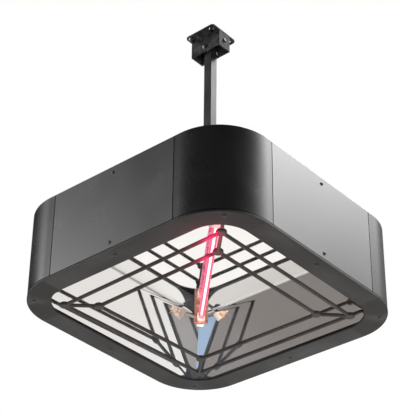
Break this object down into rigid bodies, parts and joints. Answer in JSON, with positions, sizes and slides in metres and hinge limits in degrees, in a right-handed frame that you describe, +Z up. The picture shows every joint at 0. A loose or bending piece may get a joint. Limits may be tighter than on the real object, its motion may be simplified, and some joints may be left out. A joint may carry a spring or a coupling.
{
  "type": "ceiling-hung patio heater",
  "caption": "Square ceiling-hung patio heater: rounded casing with a mirror reflector, diagonal lamp and wire guard underneath, on a square pole that tilts in a ceiling bracket.",
  "frame": {"origin": "centre of the ceiling plate's top face, where it meets the ceiling", "axes": "+Z up into the ceiling; X and Y square to the casing's flat sides, with the tilt pivot along Y; the lamp lies on the diagonal from +X-Y to -X+Y"},
  "size_m": [0.6044, 0.6044, 0.7339],
  "materials": {
    "casing": "satin black powder coat",
    "bracket": "satin black powder coat",
    "bezel": "satin black powder coat",
    "guard": "satin black heat-proof coat",
    "fastener": "plain steel",
    "mirror": "polished reflector sheet",
    "lamp_glass": "clear quartz, lit",
    "filament": "glowing coil",
    "ceramic": "glazed ceramic",
    "spring_steel": "bright sheet steel",
    "inner_steel": "zinc plated sheet",
    "terminal": "heat-proof moulding",
    "lead": "silicone sleeve",
    "grommet": "black rubber"
  },
  "bodies": {
    "ceiling_bracket": {"ceiling_plate": "bracket", "swivel_box": "bracket", "pivot_bolt": "fastener", "pivot_washers": "fastener", "pivot_nut": "fastener", "pivot_bushes": "terminal", "lock_screws": "fastener"},
    "heater": {"back_panel": "casing", "backing_plate": "inner_steel", "bezel": "bezel", "bezel_screws": "fastener", "bottom_frame": "inner_steel", "corner_cover_back_left": "casing", "corner_cover_back_right": "casing", "corner_cover_front_left": "casing", "corner_cover_front_right": "casing", "flange_screws": "fastener", "front_panel": "casing", "guard_inner_wires": "guard", "guard_outer_wires": "guard", "guard_pads": "guard", "guard_struts": "guard", "guard_tabs": "guard", "heat_shield": "inner_steel", "lamp_brackets": "spring_steel", "lamp_caps": "ceramic", "lamp_filament": "filament", "lamp_leads": "lead", "lamp_straps": "spring_steel", "lamp_tube": "lamp_glass", "left_panel": "casing", "panel_screws": "fastener", "pivot_sleeve": "fastener", "pole": "bracket", "pole_flange": "bracket", "pole_grommet": "grommet", "reflector_back": "mirror", "reflector_crown": "mirror", "reflector_front": "mirror", "reflector_left": "mirror", "reflector_right": "mirror", "right_panel": "casing", "seam_posts": "inner_steel", "shield_posts": "inner_steel", "terminal_block": "terminal", "terminal_cover": "inner_steel", "top_cover": "casing"}
  },
  "joints": [
    {"name": "ceiling_tilt", "type": "hinge", "parent": "ceiling_bracket", "child": "heater", "pos_m": [0, 0, -0.034], "axis": [0, 1, 0], "range_deg": [-45, 45]}
  ]
}
